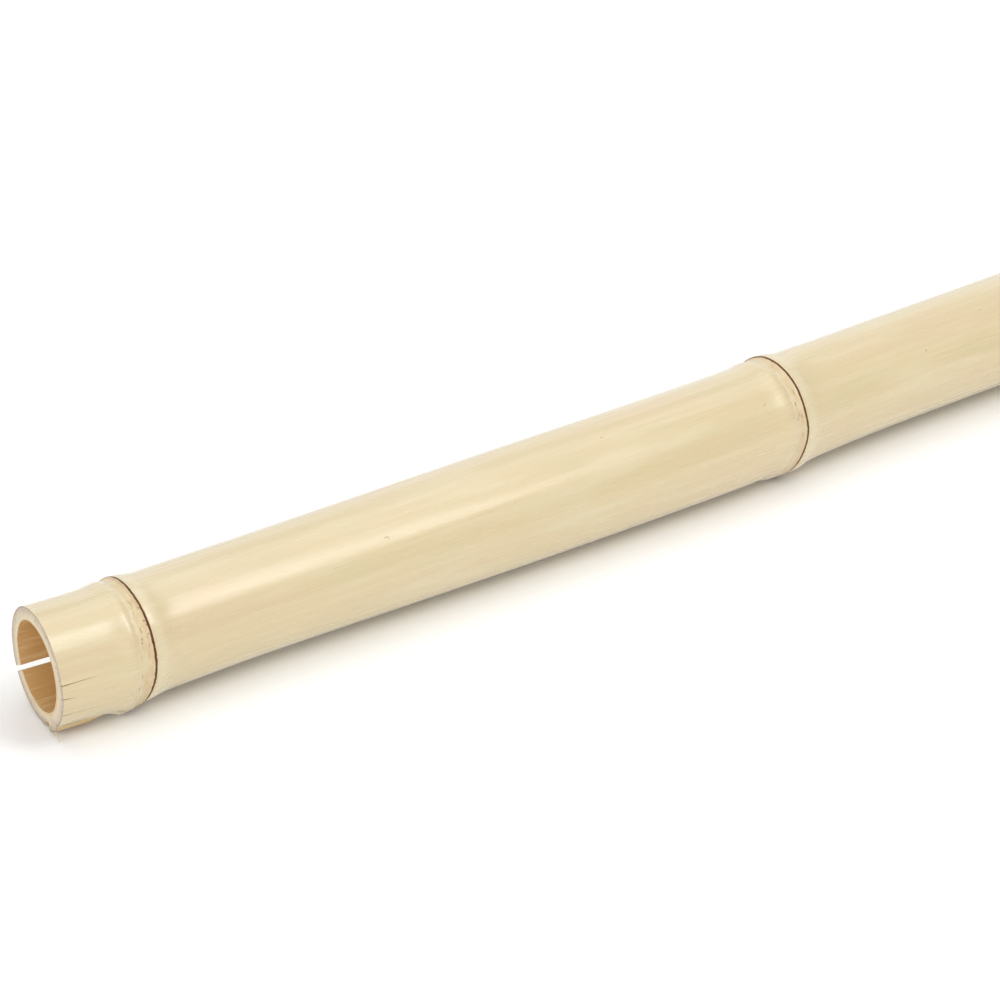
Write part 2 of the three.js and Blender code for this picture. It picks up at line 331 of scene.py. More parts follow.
def rind_radius(sizes, s, angle):
    """Radius of the rind at distance s and angle."""
    i = next(k for k, internode in enumerate(INTERNODES) if internode["start"] > s)
    here, following = INTERNODES[i - 1], INTERNODES[i]
    from_scar, to_scar = s - here["start"], following["start"] - s
    fraction = from_scar / (following["start"] - here["start"])
    ridge = sizes.ridge_height / MM
    ridge_spread = RIDGE["gentle"] if to_scar > RIDGE["offset"] else RIDGE["steep"]
    step = following["waist"] + COLLAR["height"] - here["waist"] - SWELL
    radius = here["waist"] + SWELL * smooth(fraction, *here["swells"])
    radius += COLLAR["height"] * bell(max(0, from_scar - COLLAR["flat"]) / COLLAR["spread"])
    radius += step * (1 - smooth(to_scar, *STEP))
    radius += ridge * bell((to_scar - RIDGE["offset"]) / ridge_spread)
    radius += sizes.lip_height / MM * (bell(to_scar / LIP_SPREAD) + bell(from_scar / LIP_SPREAD))
    for swelling in SWELLINGS:
        past = s - swelling["at"]
        along = bell(past / (swelling["after"] if past > 0 else swelling["before"]))
        across = bell(turn_between(angle, swelling["angle"]) / swelling["across"])
        radius += swelling["height"] * along * across
    radius += TEAR["height"] * torn(s, angle)
    return radius + relief(s, angle, nearest_scar(s))


# Modelling

def face_outwards(bm):
    """Turns the faces outwards. The normals are renewed first, because moved points leave them stale."""
    bm.normal_update()
    bmesh.ops.recalc_face_normals(bm, faces=bm.faces)


def rolled(rings, sides):
    """A closed straight shape along X, rolled up from a grid: rings are (distance, radius) pairs."""
    bm = bmesh.new()
    last = len(rings) - 1
    bmesh.ops.create_grid(bm, x_segments=last, y_segments=sides, size=0.5)
    for vert in bm.verts:
        distance, radius = rings[round((vert.co.x + 0.5) * last)]
        turn = math.tau * (vert.co.y + 0.5)
        vert.co = (distance, radius * math.cos(turn), radius * math.sin(turn))
    bmesh.ops.remove_doubles(bm, verts=bm.verts, dist=1e-4)
    bmesh.ops.holes_fill(bm, edges=bm.edges, sides=0)
    face_outwards(bm)
    return bm


def plate(lengths, centre, angle, cuts):
    """A box along X, cut into short lengths and turned to its angle round the cane."""
    bm = bmesh.new()
    bmesh.ops.create_cube(bm, size=1, matrix=Matrix.Diagonal((*lengths, 1)))
    long_edges = [e for e in bm.edges if abs(e.verts[0].co.x - e.verts[1].co.x) > lengths[0] / 2]
    bmesh.ops.subdivide_edges(bm, edges=long_edges, cuts=cuts, use_grid_fill=True)
    turn_to(bm, centre, angle)
    return bm


def turn_to(bm, centre, angle):
    """Moves a shape out to its radius, then round the cane to its angle in degrees."""
    bmesh.ops.translate(bm, vec=centre, verts=bm.verts)
    bmesh.ops.rotate(bm, matrix=Matrix.Rotation(math.radians(angle), 3, "X"), verts=bm.verts)


def bend(sizes, bm, radius_at=None, lean_at=None):
    """Moves each point of a straight shape (x = distance, y = front, z = up, in mm) onto the cane."""
    for vert in bm.verts:
        s, front, up = vert.co
        angle = math.degrees(math.atan2(up, front))
        scale = radius_at(s, angle) if radius_at else 1
        shift = lean_at(s, angle) if lean_at else 0
        vert.co = place(sizes, s + shift, front * scale, up * scale)
    face_outwards(bm)
    return bm


def as_object(name, bm, material):
    mesh = bpy.data.meshes.new(name)
    bm.to_mesh(mesh)
    bm.free()
    mesh.materials.append(material)
    piece = bpy.data.objects.new(name, mesh)
    bpy.context.scene.collection.objects.link(piece)
    return piece


def station_step(s):
    """Spacing of the rings of the rind: fine at a sheath scar, coarse along an internode."""
    away = abs(nearest_scar(s) + DIAPHRAGM_TO_SCAR)
    step = next((step for reach, step in RING_STEPS if away < reach), INTERNODE_STEP)
    return min(step, RIM["step"]) if s < RIM["reach"] else step


def rind_tool(sizes, material):
    end = sizes.length / MM + OVERRUN
    stations = [-OVERRUN]
    while stations[-1] < end:
        stations.append(stations[-1] + station_step(stations[-1]))
    bm = rolled([(s, 1) for s in stations], sizes.sides)
    bend(sizes, bm, lambda s, angle: rind_radius(sizes, s, angle), lean)
    return as_object("culm", bm, material)


def hollow_tools(sizes, material):
    """The hollow of each internode, with rounded ends where the diaphragms close it."""
    made = []
    last = len(SCARS)
    for i, internode in enumerate(INTERNODES[:last + 1]):
        start = -OVERRUN if i == 0 else SCARS[i - 1] - DIAPHRAGM_TO_SCAR
        end = sizes.length / MM + OVERRUN if i == last else SCARS[i] - DIAPHRAGM_TO_SCAR - DIAPHRAGM
        rounds = [math.radians(degrees) for degrees in range(0, 91, 10)]
        ends = [
            (HOLLOW_ROUND * (1 - math.cos(turn)), 1 - (1 - HOLLOW_SHARE) * (1 - math.sin(turn)))
            for turn in rounds
        ]
        rings = [(start, 1)] if i == 0 else [(start + inset, share) for inset, share in ends]
        step = 1 if i == 0 else 6
        while rings[-1][0] + step < end - (0 if i == last else HOLLOW_ROUND):
            rings.append((rings[-1][0] + step, 1))
        rings += [(end, 1)] if i == last else [(end - inset, share) for inset, share in reversed(ends)]
        bm = rolled([(s, share * internode["hollow"]) for s, share in rings], HOLLOW_SIDES)
        bmesh.ops.translate(bm, vec=(0, *internode["offset"]), verts=bm.verts)
        bend(sizes, bm, lambda s, angle: 1 + inner_relief(s, angle))
        made.append(as_object(f"hollow_{i}", bm, material))
    return made


def inner_relief(s, angle):
    """Unevenness of the hollow as a share of its radius, ragged in the first millimetres of the mouth."""
    ragged = uneven(s, angle, **INNER_RAGS) * (1 - smooth(s, 0.5, 4))
    return uneven(s, angle, **INNER_WAVES) + ragged


def kerf_tool(sizes, material):
    """The saw slot: a plate that follows the heart line, low on the back."""
    run = sizes.length / MM + 2 * OVERRUN
    depth = KERF_OUTER - KERF_INNER
    bm = plate((run, depth, sizes.kerf / MM), (run / 2 - OVERRUN, KERF_INNER + depth / 2, 0),
               math.degrees(sizes.kerf_angle), 120)
    return as_object("kerf", bend(sizes, bm), material)


def crack_tool(sizes, material, crack):
    """An open crack: a flat wedge from the rim that runs out along the cane in a slightly wavy line."""
    bm = bmesh.new()
    length = crack["length"]
    run = length + OVERRUN
    growth = run / length
    facing = Matrix.Translation((run / 2 - OVERRUN, 0, 0)) @ Matrix.Rotation(math.pi / 2, 4, "Y")
    bmesh.ops.create_cone(bm, cap_ends=True, segments=4, radius1=1, radius2=0.02, depth=run, matrix=facing)
    long_edges = [e for e in bm.edges if abs(e.verts[0].co.x - e.verts[1].co.x) > run / 2]
    bmesh.ops.subdivide_edges(bm, edges=long_edges, cuts=14)
    widest = max(max(abs(v.co.y), abs(v.co.z)) for v in bm.verts)
    bmesh.ops.scale(bm, vec=(1, crack["depth"] * growth / widest, crack["width"] * growth / 2 / widest),
                    verts=bm.verts)
    radius = rind_radius(sizes, 0, crack["angle"])
    drift = math.radians(crack["twist"]) * radius / length
    for vert in bm.verts:
        waver = noise.noise(Vector((vert.co.x / CRACK_WAVER["length"], crack["angle"], 0)))
        vert.co.z += drift * vert.co.x + CRACK_WAVER["height"] * waver
    turn_to(bm, (0, radius, 0), crack["angle"])
    return as_object("crack", bend(sizes, bm), material)


def notch_tool(sizes, material):
    depth = KERF_OUTER - NOTCH["inner"]
    run = NOTCH["length"] + OVERRUN
    bm = plate((run, depth, NOTCH["width"]), (run / 2 - OVERRUN, NOTCH["inner"] + depth / 2, 0),
               NOTCH["angle"], 3)
    return as_object("notch", bend(sizes, bm), material)


def block_tool(name, material, corner, cut, direction):
    """A large cutting block whose face passes through a point: what a saw takes off."""
    bm = bmesh.new()
    bmesh.ops.create_cube(bm, size=BLOCK * MM)
    bmesh.ops.translate(bm, vec=direction * (BLOCK * MM / 2), verts=bm.verts)
    bmesh.ops.rotate(bm, matrix=Matrix.Rotation(math.radians(-cut["tip"]), 3, "Y"), verts=bm.verts)
    bmesh.ops.rotate(bm, matrix=Matrix.Rotation(math.radians(cut["turn"]), 3, "Z"), verts=bm.verts)
    bmesh.ops.translate(bm, vec=corner, verts=bm.verts)
    return as_object(name, bm, material)


def floor_tool(sizes, material):
    bm = bmesh.new()
    size = (sizes.length + BLOCK * MM, BLOCK * MM, BLOCK * MM, 1)
    below = Matrix.Translation((0, 0, -BLOCK * MM / 2))
    bmesh.ops.create_cube(bm, size=1, matrix=below @ Matrix.Diagonal(size))
    return as_object("floor_flat", bm, material)


def carve(piece, tools):
    """Takes each tool out of the piece. A cut face keeps the tool's material."""
    for tool in tools:
        cut = piece.modifiers.new(tool.name, "BOOLEAN")
        cut.operation = "DIFFERENCE"
        cut.solver = "MANIFOLD"
        cut.material_mode = "TRANSFER"
        cut.object = tool
    graph = bpy.context.evaluated_depsgraph_get()
    carved = bpy.data.meshes.new_from_object(piece.evaluated_get(graph))
    piece.modifiers.clear()
    piece.data = carved
    for tool in tools:
        bpy.data.meshes.remove(tool.data)


def bud_eye(s, angle):
    """Share, from 0 to 1, of the dark eye of the nearest bud: partly the brown of the trimmed bud scar and
    partly painted shade at the bud.
    """
    shares = []
    for bud in BUDS:
        along = bell((s - bud["at"]) / BUD_EYE["length"])
        shares.append(along * bell(turn_between(angle, bud["angle"]) / BUD_EYE["across"]))
    return max(shares)


def mark_growth(sizes, piece):
    """Stores on each point its straightened place and other marks of growth, for the materials."""
    mesh = piece.data
    grain, rind, tears, eyes = [], [], [], []
    for vert in mesh.vertices:
        s, front, up = straighten(sizes, vert.co)
        angle = math.degrees(math.atan2(up, front))
        s -= lean(s, angle)
        grain.extend((s * MM, front * MM, up * MM))
        rind.append(rind_radius(sizes, s, angle) * MM)
        tears.append(torn(s, angle))
        eyes.append(bud_eye(s, angle))
    mesh.attributes.new("grain", "FLOAT_VECTOR", "POINT").data.foreach_set("vector", grain)
    for name, values in (("rind", rind), ("torn", tears), ("bud", eyes)):
        mesh.attributes.new(name, "FLOAT", "POINT").data.foreach_set("value", values)


def finish_surface(piece, sharp_angle):
    piece.data.shade_smooth()
    piece.data.set_sharp_from_angle(angle=math.radians(sharp_angle))


# Materials

SMOOTH = {"interpolation_type": "SMOOTHSTEP"}
TIMES = {"operation": "MULTIPLY"}
PLUS = {"operation": "ADD"}
MINUS = {"operation": "SUBTRACT"}
TIMES_PLUS = {"operation": "MULTIPLY_ADD"}
LENGTH = {"operation": "LENGTH"}
COLOUR_MIX = {"data_type": "RGBA"}
GRAIN = {"attribute_name": "grain"}


def add(tree, kind, settings=None, out=0, **inputs):
    """Adds a node and returns one of its outputs. Its inputs are values or the sockets they come from."""
    made = tree.nodes.new("ShaderNode" + kind)
    for name, value in (settings or {}).items():
        setattr(made, name, value)
    for name, value in inputs.items():
        socket = made.inputs[int(name[1:]) if name[0] == "_" else name.replace("_", " ")]
        if isinstance(value, bpy.types.NodeSocket):
            tree.links.new(value, socket)
        else:
            socket.default_value = value
    return made.outputs[out] if made.outputs else None


def new_material(name):
    material = bpy.data.materials.new(name)
    material.use_nodes = True
    material.node_tree.nodes.clear()
    return material, material.node_tree


def patches(tree, along, across, detail=3, shift=0.0, vector=None):
    """Noise drawn out along the cane. The length and width of its patches are in millimetres."""
    vector = vector or add(tree, "Attribute", GRAIN, "Vector")
    per_patch = (1 / (along * MM), 1 / (across * MM), 1 / (across * MM))
    scaled = add(tree, "VectorMath", TIMES_PLUS, _0=vector, _1=per_patch, _2=(shift, shift, shift))
    return add(tree, "TexNoise", Vector=scaled, Scale=1.0, Detail=detail, Roughness=0.55)


def distance_from_scar(tree):
    """Distance past the nearest sheath scar, in metres. It is negative on the side of the ridge."""
    along = add(tree, "SeparateXYZ", _0=add(tree, "Attribute", GRAIN, "Vector"))
    distance = add(tree, "Math", MINUS, _0=along, _1=SCARS[0] * MM)
    for scar, following in zip(SCARS, SCARS[1:]):
        nearer = add(tree, "Math", {"operation": "GREATER_THAN"}, _0=along, _1=(scar + following) / 2 * MM)
        distance = add(tree, "Math", TIMES_PLUS, _0=nearer, _1=(scar - following) * MM, _2=distance)
    return distance


def marked(tree, marks):
    """A share that is 1 on each of a few small ragged marks, which are given by place and size."""
    grain = add(tree, "Attribute", GRAIN, "Vector")
    along, front, up = (add(tree, "SeparateXYZ", None, axis, _0=grain) for axis in "XYZ")
    turn = add(tree, "Math", {"operation": "ARCTAN2"}, _0=up, _1=front)
    arc = add(tree, "Math", TIMES, _0=turn, _1=MARK_RADIUS * MM)
    unrolled = add(tree, "CombineXYZ", X=along, Y=arc)
    nearest = 10.0        # well past the edge of any mark, which is at 1
    for s, angle, length, width in marks:
        stretch = (2 / (length * MM), 2 / (width * MM), 0)
        centre = (-s * MM * stretch[0], -math.radians(angle) * MARK_RADIUS * MM * stretch[1], 0)
        offset = add(tree, "VectorMath", TIMES_PLUS, _0=unrolled, _1=stretch, _2=centre)
        distance = add(tree, "VectorMath", LENGTH, "Value", _0=offset)
        nearest = add(tree, "Math", {"operation": "MINIMUM"}, _0=nearest, _1=distance)
    ragged = add(tree, "MapRange", Value=patches(tree, 0.7, 0.7, 2, 91.0), To_Min=-0.7, To_Max=0.7)
    distance = add(tree, "Math", PLUS, _0=nearest, _1=ragged)
    return add(tree, "MapRange", SMOOTH, Value=distance, From_Min=1.3, From_Max=0.6)


def strip(tree, value, low, high, soft):
    """A share that is 1 where a value lies between two limits and 0 outside them."""
    rise = add(tree, "MapRange", SMOOTH, Value=value, From_Min=low - soft, From_Max=low + soft)
    fall = add(tree, "MapRange", SMOOTH, Value=value, From_Min=high + soft, From_Max=high - soft)
    return add(tree, "Math", TIMES, _0=rise, _1=fall)


def tinted(tree, colour, other, value, low=0.0, high=1.0, share=1.0):
    """A colour that turns to another while a value goes from low to high."""
    factor = add(tree, "MapRange", SMOOTH, Value=value, From_Min=low, From_Max=high, To_Max=share)
    return add(tree, "Mix", COLOUR_MIX, 2, _0=factor, _6=colour, _7=other)


def rind_material(colours):
    """Dried bamboo rind: a smooth skin with long faint streaks of fibre, so it has a satin gloss, under a
    bloom of wax that pales it where it turns away from the eye. Real fibres are finer than 0.3 mm and
    wouldn't show, so they are drawn 0.8 mm wide."""
    material, tree = new_material("dried_bamboo_rind")
    from_scar = distance_from_scar(tree)
    torn_share = add(tree, "Attribute", {"attribute_name": "torn"}, "Fac")
    bud_scar_and_shade = add(tree, "Attribute", {"attribute_name": "bud"}, "Fac")

    # Colour patches a hand long and a finger wide, and faint streaks of fibre 2 mm wide
    colour = tinted(tree, colours.rind, colours.rind_warm, patches(tree, 110, 16, 2), 0.4, 0.66, 0.38)
    colour = tinted(tree, colour, colours.rind_green, patches(tree, 45, 14, 3, 4.0), 0.46, 0.7, 0.42)
    colour = tinted(tree, colour, colours.rind_pale, patches(tree, 90, 12, 3, 8.0), 0.48, 0.72, 0.38)
    colour = tinted(tree, colour, colours.rind_pale, patches(tree, 70, 2.6, 2, 13.0), 0.45, 0.7, 0.22)
    colour = tinted(tree, colour, colours.band, patches(tree, 50, 1.6, 2, 17.0), 0.52, 0.75, 0.06)

    # A paler ring of young growth just past the scar
    young = strip(tree, from_scar, 2 * MM, 7 * MM, 3 * MM)
    colour = tinted(tree, colour, colours.rind_pale, young, share=0.4)

    # The root band between the crease of the ridge and the scar: mottled, with soft borders
    wobble = add(tree, "MapRange", Value=patches(tree, 9, 6, 2, 21.0), To_Min=-1.4 * MM, To_Max=1.4 * MM)
    place_in_band = add(tree, "Math", PLUS, _0=from_scar, _1=wobble)
    band = strip(tree, place_in_band, -5.4 * MM, 0.4 * MM, 1.3 * MM)
    mottled = add(tree, "Math", TIMES, _0=band, _1=patches(tree, 3, 7, 4, 25.0))
    colour = tinted(tree, colour, colours.band, mottled, 0.36, 0.62, 0.6)
    colour = tinted(tree, colour, colours.rind_pale, strip(tree, mottled, 0.3, 0.42, 0.08), share=0.25)
    # Painted shade in the crease at the foot of each ridge: a broken brownish-grey line, over a shallow
    # groove in the bump
    crease = strip(tree, place_in_band, -6.3 * MM, -5.8 * MM, 0.4 * MM)
    shaded_crease = add(tree, "Math", TIMES, _0=crease, _1=patches(tree, 9, 4, 4, 29.0))
    colour = tinted(tree, colour, colours.crease, shaded_crease, 0.42, 0.62, 0.65)
    wrinkle = add(tree, "Math", TIMES, _0=band, _1=patches(tree, 0.8, 2.6, 3, 37.0))
    wrinkle = add(tree, "Math", TIMES, _0=wrinkle, _1=patches(tree, 12, 10, 1, 33.0))
    colour = tinted(tree, colour, colours.crease, wrinkle, 0.34, 0.46, 0.6)

    # The brown line of the scar, with a thin warm edge on the side of the band
    warm_edge = strip(tree, from_scar, -1.2 * MM, -0.5 * MM, 0.35 * MM)
    colour = tinted(tree, colour, colours.warm_edge, warm_edge, share=0.45)
    ragged = patches(tree, 2.5, 2.2, 3, 41.0)
    ragged = add(tree, "MapRange", Value=ragged, To_Min=-0.3 * MM, To_Max=0.3 * MM)
    place_on_line = add(tree, "Math", PLUS, _0=from_scar, _1=ragged)
    line = strip(tree, place_on_line, -0.35 * MM, 0.85 * MM, 0.25 * MM)
    line_colour = tinted(tree, colours.scar, colours.scar_pale, patches(tree, 6, 16, 3, 45.0), 0.5, 0.75)
    colour = tinted(tree, colour, line_colour, line)

    # The eye of each bud, scar brown with painted shade, small dark marks, and the golden fibres of the
    # torn strip
    # Scar brown and painted shade: each bud eye is darkened with the scar colour
    colour = tinted(tree, colour, colours.scar, bud_scar_and_shade, 0.72, 0.9, 0.8)
    marks = marked(tree, MARKS)
    colour = tinted(tree, colour, colours.crease, marks, share=0.85)
    golden = tinted(tree, colours.torn, colours.raw_dark, patches(tree, 14, 0.9, 4, 49.0), 0.52, 0.66, 0.75)
    golden = tinted(tree, golden, colours.raw, patches(tree, 10, 0.7, 4, 53.0), 0.55, 0.7, 0.8)
    colour = tinted(tree, colour, golden, torn_share, 0.1, 0.5, 0.85)

    # Fibre ridges 0.007 mm high, wrinkles 0.28 mm high in the band and a groove 0.15 mm deep at the line
    fibre = add(tree, "MapRange", Value=patches(tree, 40, 0.8, 2, 65.0), To_Max=0.007)
    wrinkled = add(tree, "Math", TIMES, _0=band, _1=patches(tree, 0.9, 3, 4, 69.0))
    torn_fibre = add(tree, "Math", TIMES, _0=torn_share, _1=patches(tree, 12, 0.8, 4, 73.0))
    height = fibre
    for share, rise in ((wrinkled, 0.28), (line, -0.15), (shaded_crease, -0.2), (torn_fibre, 0.6), (marks, -0.15)):
        height = add(tree, "Math", TIMES_PLUS, _0=share, _1=rise, _2=height)
    bumpy = add(tree, "Bump", Strength=1.0, Distance=MM, Height=height)

    # The band and the torn strip are rougher, and the line has neither gloss nor bloom
    roughness = add(tree, "MapRange", Value=patches(tree, 70, 4, 3, 77.0), To_Min=0.21, To_Max=0.35)
    rough_share = add(tree, "Math", {"operation": "MAXIMUM"}, _0=band, _1=torn_share)
    roughness = add(tree, "Math", TIMES_PLUS, _0=rough_share, _1=0.28, _2=roughness)
    bloom = add(tree, "Math", TIMES_PLUS, _0=line, _1=-0.6, _2=0.6)
    gloss = add(tree, "Math", TIMES_PLUS, _0=line, _1=-0.65, _2=0.8)
    shader = add(tree, "BsdfPrincipled", Base_Color=colour, Roughness=roughness, IOR=1.5, Normal=bumpy,
                 Specular_IOR_Level=gloss, Sheen_Weight=bloom, Sheen_Roughness=0.35)
    add(tree, "OutputMaterial", Surface=shader)
    return material


def end_grain_material(colours):
    """Sawn bamboo wall: dry and matt, with fibre bundles crowded towards the skin and scores of the saw."""
    material, tree = new_material("sawn_end_grain")
    flat = add(tree, "VectorMath", TIMES, _0=add(tree, "Attribute", GRAIN, "Vector"), _1=(0, 1, 1))
    around = add(tree, "VectorMath", {"operation": "NORMALIZE"}, _0=flat)
    radius = add(tree, "VectorMath", LENGTH, "Value", _0=flat)
    rind = add(tree, "Attribute", {"attribute_name": "rind"}, "Fac")
    skin_depth = add(tree, "Math", MINUS, _0=rind, _1=radius)
    outwards = add(tree, "CombineXYZ", X=radius)
    polar = add(tree, "VectorMath", TIMES_PLUS, _0=around, _1=(0, 27 * MM, 27 * MM), _2=outwards)

    # Warm and dark parts 3 to 4 mm deep, and scores of the saw that run in from the skin
    warm = patches(tree, 3, 7, 3, 2.0, polar)
    colour = tinted(tree, colours.end_grain, colours.end_warm, warm, 0.42, 0.68, 0.7)
    scored = patches(tree, 5, 0.8, 3, 5.0, polar)
    colour = tinted(tree, colour, colours.rind_pale, scored, 0.52, 0.68, 0.75)
    colour = tinted(tree, colour, colours.end_bundle, patches(tree, 4, 0.7, 3, 9.0, polar), 0.55, 0.75, 0.6)

    # Bundles, one to each millimetre, and fewer towards the hollow. Real ones are half as wide.
    cells = add(tree, "VectorMath", TIMES, _0=flat, _1=(0, 1 / MM, 1 / MM))
    bundle = add(tree, "TexVoronoi", {"feature": "F1"}, "Distance", Vector=cells, Scale=1.0, Randomness=0.9)
    spot = add(tree, "MapRange", SMOOTH, Value=bundle, From_Min=0.42, From_Max=0.18)
    crowded = add(tree, "MapRange", SMOOTH, Value=skin_depth, From_Min=6 * MM, From_Max=MM, To_Min=0.25)
    spotted = add(tree, "Math", TIMES, _0=spot, _1=crowded)
    colour = tinted(tree, colour, colours.end_bundle, spotted, share=0.55)

    # Greyer towards the skin and creamier towards the hollow, with a warm edge there
    colour = tinted(tree, colour, colours.end_skin, skin_depth, 4 * MM, 0.6 * MM, 0.3)
    colour = tinted(tree, colour, colours.end_skin, skin_depth, 1.1 * MM, 0.3 * MM, 0.7)
    colour = tinted(tree, colour, colours.rind_pale, skin_depth, 3.4 * MM, 5.8 * MM, 0.6)
    colour = tinted(tree, colour, colours.warm_edge, skin_depth, 5.9 * MM, 6.9 * MM, 0.8)

    height = add(tree, "Math", TIMES, _0=scored, _1=0.25)
    height = add(tree, "Math", TIMES_PLUS, _0=spotted, _1=-0.08, _2=height)
    bumpy = add(tree, "Bump", Strength=1.0, Distance=MM, Height=height)
    shader = add(tree, "BsdfPrincipled", Base_Color=colour, Roughness=0.75, IOR=1.5, Normal=bumpy)
    add(tree, "OutputMaterial", Surface=shader)
    return material


def hollow_material(colours):
    """Inner wall of the culm: a thin dry membrane over the fibres, golden brown with a faint sheen."""
    material, tree = new_material("culm_inner_wall")
    streaks = patches(tree, 26, 2.2, 4, 3.0)
    colour = tinted(tree, colours.hollow, colours.hollow_pale, streaks, 0.48, 0.72, 0.7)
    colour = tinted(tree, colour, colours.raw_dark, patches(tree, 18, 0.9, 4, 6.0), 0.56, 0.78, 0.4)
    colour = tinted(tree, colour, colours.hollow_pale, patches(tree, 3, 1.2, 4, 12.0), 0.6, 0.78, 0.5)
    along = add(tree, "SeparateXYZ", _0=add(tree, "Attribute", GRAIN, "Vector"))
    lip = add(tree, "MapRange", SMOOTH, Value=along, From_Min=6 * MM, From_Max=0)
    frayed = add(tree, "Math", TIMES, _0=lip, _1=patches(tree, 2.2, 1.6, 4, 19.0))
    colour = tinted(tree, colour, colours.rind_pale, frayed, 0.42, 0.56, 0.9)
    ribs = add(tree, "MapRange", Value=patches(tree, 22, 1.1, 4, 15.0), To_Max=0.5)
    bumpy = add(tree, "Bump", Strength=1.0, Distance=MM, Height=ribs)
    shader = add(tree, "BsdfPrincipled", Base_Color=colour, Roughness=0.55, IOR=1.5, Normal=bumpy)
    add(tree, "OutputMaterial", Surface=shader)
    return material


def raw_fibre_material(colours):
    """Bamboo fibre laid bare along the grain by a saw or a split: straw coloured and matt."""
    material, tree = new_material("raw_bamboo_fibre")
    colour = tinted(tree, colours.raw, colours.rind_pale, patches(tree, 20, 0.7, 4, 3.0), 0.5, 0.7, 0.8)
    colour = tinted(tree, colour, colours.raw_dark, patches(tree, 16, 0.5, 4, 7.0), 0.55, 0.75, 0.5)
    bumpy = add(tree, "Bump", Strength=1.0, Distance=0.15 * MM, Height=patches(tree, 12, 0.4, 3, 11.0))
    shader = add(tree, "BsdfPrincipled", Base_Color=colour, Roughness=0.8, IOR=1.5, Normal=bumpy)
    add(tree, "OutputMaterial", Surface=shader)
    return material


def crack_material(colours):
    """Walls of a drying crack: fibre coloured with painted shade, darker so the crack reads as deep, and
    quite matt.
    """
    material, tree = new_material("darkened_crack_fibre")
    # Painted shade: the crack walls take the brownish grey of the crease colour, mottled with straw fibre
    colour = tinted(tree, colours.crease, colours.raw, patches(tree, 6, 0.6, 3, 3.0), 0.4, 0.7)
    shader = add(tree, "BsdfPrincipled", Base_Color=colour, Roughness=0.85, IOR=1.5)
    add(tree, "OutputMaterial", Surface=shader)
    return material


def floor_material(settings):
    """Matt white studio paper, with a faint tooth."""
    material, tree = new_material("white_studio_paper")
    where = add(tree, "TexCoord", None, "Object")
    tooth = add(tree, "TexNoise", Vector=where, Scale=900.0, Detail=2.0)
    bumpy = add(tree, "Bump", Strength=0.3, Distance=0.05 * MM, Height=tooth)
    shader = add(tree, "BsdfPrincipled", Base_Color=settings.floor, Roughness=0.9, IOR=1.4, Normal=bumpy)
    add(tree, "OutputMaterial", Surface=shader)
    return material


# Torn fibres at the near rim

# Each has its root and its heading as (distance, front, up). Length, width and droop are in mm.
SPLINTERS = (
    {"root": (0.6, 12.5, -26.6), "heading": (-0.15, 1, -0.05), "length": 9, "width": 1.2, "droop": 3.2},
    {"root": (0.2, 10.8, -27.4), "heading": (-0.55, 0.8, 0.02), "length": 5.5, "width": 0.5, "droop": 2},
    {"root": (1.4, 14.6, -25.6), "heading": (-0.3, 0.9, 0.1), "length": 3.2, "width": 0.4, "droop": 0.8},
    {"root": (2.5, 17, -24.4), "heading": (-0.95, 0.35, -0.1), "length": 3.8, "width": 0.4, "droop": 0.3},
    {"root": (2.2, 19.6, -22.4), "heading": (-0.95, 0.3, -0.1), "length": 3, "width": 0.35, "droop": 0.2},
)
STRAND_JOINTS = 9
STRAND_SIDES = 7
STRAND_TAPER = 0.8
STRAND_SWAY = 0.12


def splinter(sizes, bm, root, heading, length, width, droop):
    """One thin tapered fibre, rooted at (distance, front, up) in mm and drooping away from its root."""
    start, end = Vector(root), Vector(heading).normalized()
    shares = [k / STRAND_JOINTS for k in range(STRAND_JOINTS + 1)]
    rings = [(share * length, width / 2 * (1 - STRAND_TAPER * share ** 1.5)) for share in shares]
    strand = rolled(rings, STRAND_SIDES)
    across = end.cross(Vector((0, 0, 1))).normalized()
    upwards = across.cross(end)
    for vert in strand.verts:
        share = vert.co.x / length
        sway = STRAND_SWAY * length * noise.noise(Vector((share * 2.2, root[0], root[2])))
        flat = start + end * vert.co.x + across * (vert.co.y + sway * share) + upwards * vert.co.z
        flat.z -= droop * share * share
        vert.co = place(sizes, *flat)
    mesh = bpy.data.meshes.new("strand")
    face_outwards(strand)
    strand.to_mesh(mesh)
    strand.free()
    bm.from_mesh(mesh)
    bpy.data.meshes.remove(mesh)


# Operators

class BuildCulm(bpy.types.Operator):
    """Build the sawn culm: rind, node rings, hollow, saw slot and cracks"""
    bl_idname = "cane.build_culm"
    bl_label = "Culm"

    def execute(self, context):
        sizes = context.scene.cane_sizes
        colours = context.scene.cane_colours
        rind = rind_material(colours)
        end_grain = end_grain_material(colours)
        crack = crack_material(colours)
        raw = raw_fibre_material(colours)
        culm = rind_tool(sizes, rind)
        near = place(sizes, 0, 0, 0)
        far = place(sizes, sizes.length / MM, 0, 0)
        tools = hollow_tools(sizes, hollow_material(colours))
        tools.append(kerf_tool(sizes, raw))
        tools += [crack_tool(sizes, crack, split) for split in CRACKS]
        tools.append(notch_tool(sizes, raw))
        tools.append(block_tool("near_saw", end_grain, near, NEAR_CUT, Vector((-1, 0, 0))))
        tools.append(block_tool("far_saw", end_grain, far, FAR_CUT, Vector((1, 0, 0))))
        tools.append(floor_tool(sizes, rind))
        carve(culm, tools)
        mark_growth(sizes, culm)
        finish_surface(culm, sharp_angle=35)
        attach(culm, BODY)
        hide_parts(CULM_NODE)
        return {"FINISHED"}


